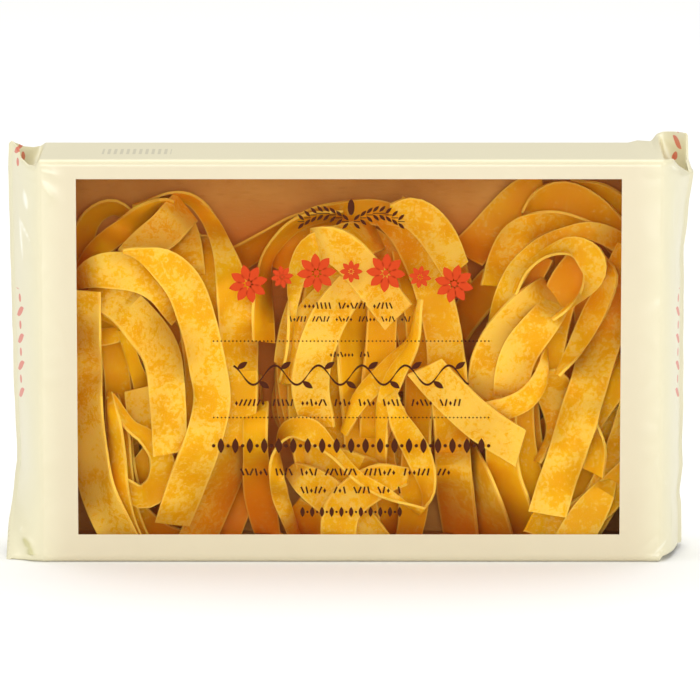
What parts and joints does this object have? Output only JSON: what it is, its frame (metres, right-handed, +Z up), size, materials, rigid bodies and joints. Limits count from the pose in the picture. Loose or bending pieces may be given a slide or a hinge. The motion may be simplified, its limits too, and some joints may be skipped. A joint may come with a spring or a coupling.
{
  "type": "windowed pack of dry pasta nests",
  "caption": "Sealed flow-wrapped pack with a clear front window, a board tray and nests of wide dry egg pasta ribbon inside, standing on its long side.",
  "frame": {"origin": "middle of the face that the pack stands on", "axes": "+X along the pack's length to the right of the window, +Y into the pack from the window, +Z up"},
  "size_m": [0.2448, 0.0506, 0.1487],
  "materials": {
    "printed_film": "cream printed film with a soft satin sheen",
    "clear_film": "clear glossy film",
    "kraft_board": "matte brown board",
    "egg_pasta": "golden dry egg pasta with a floury mottled surface"
  },
  "bodies": {
    "root": {"wrap_film": "printed_film", "window_pane": "clear_film", "board_tray": "kraft_board", "nest_left": "egg_pasta", "nest_middle": "egg_pasta", "nest_right": "egg_pasta"}
  },
  "joints": []
}
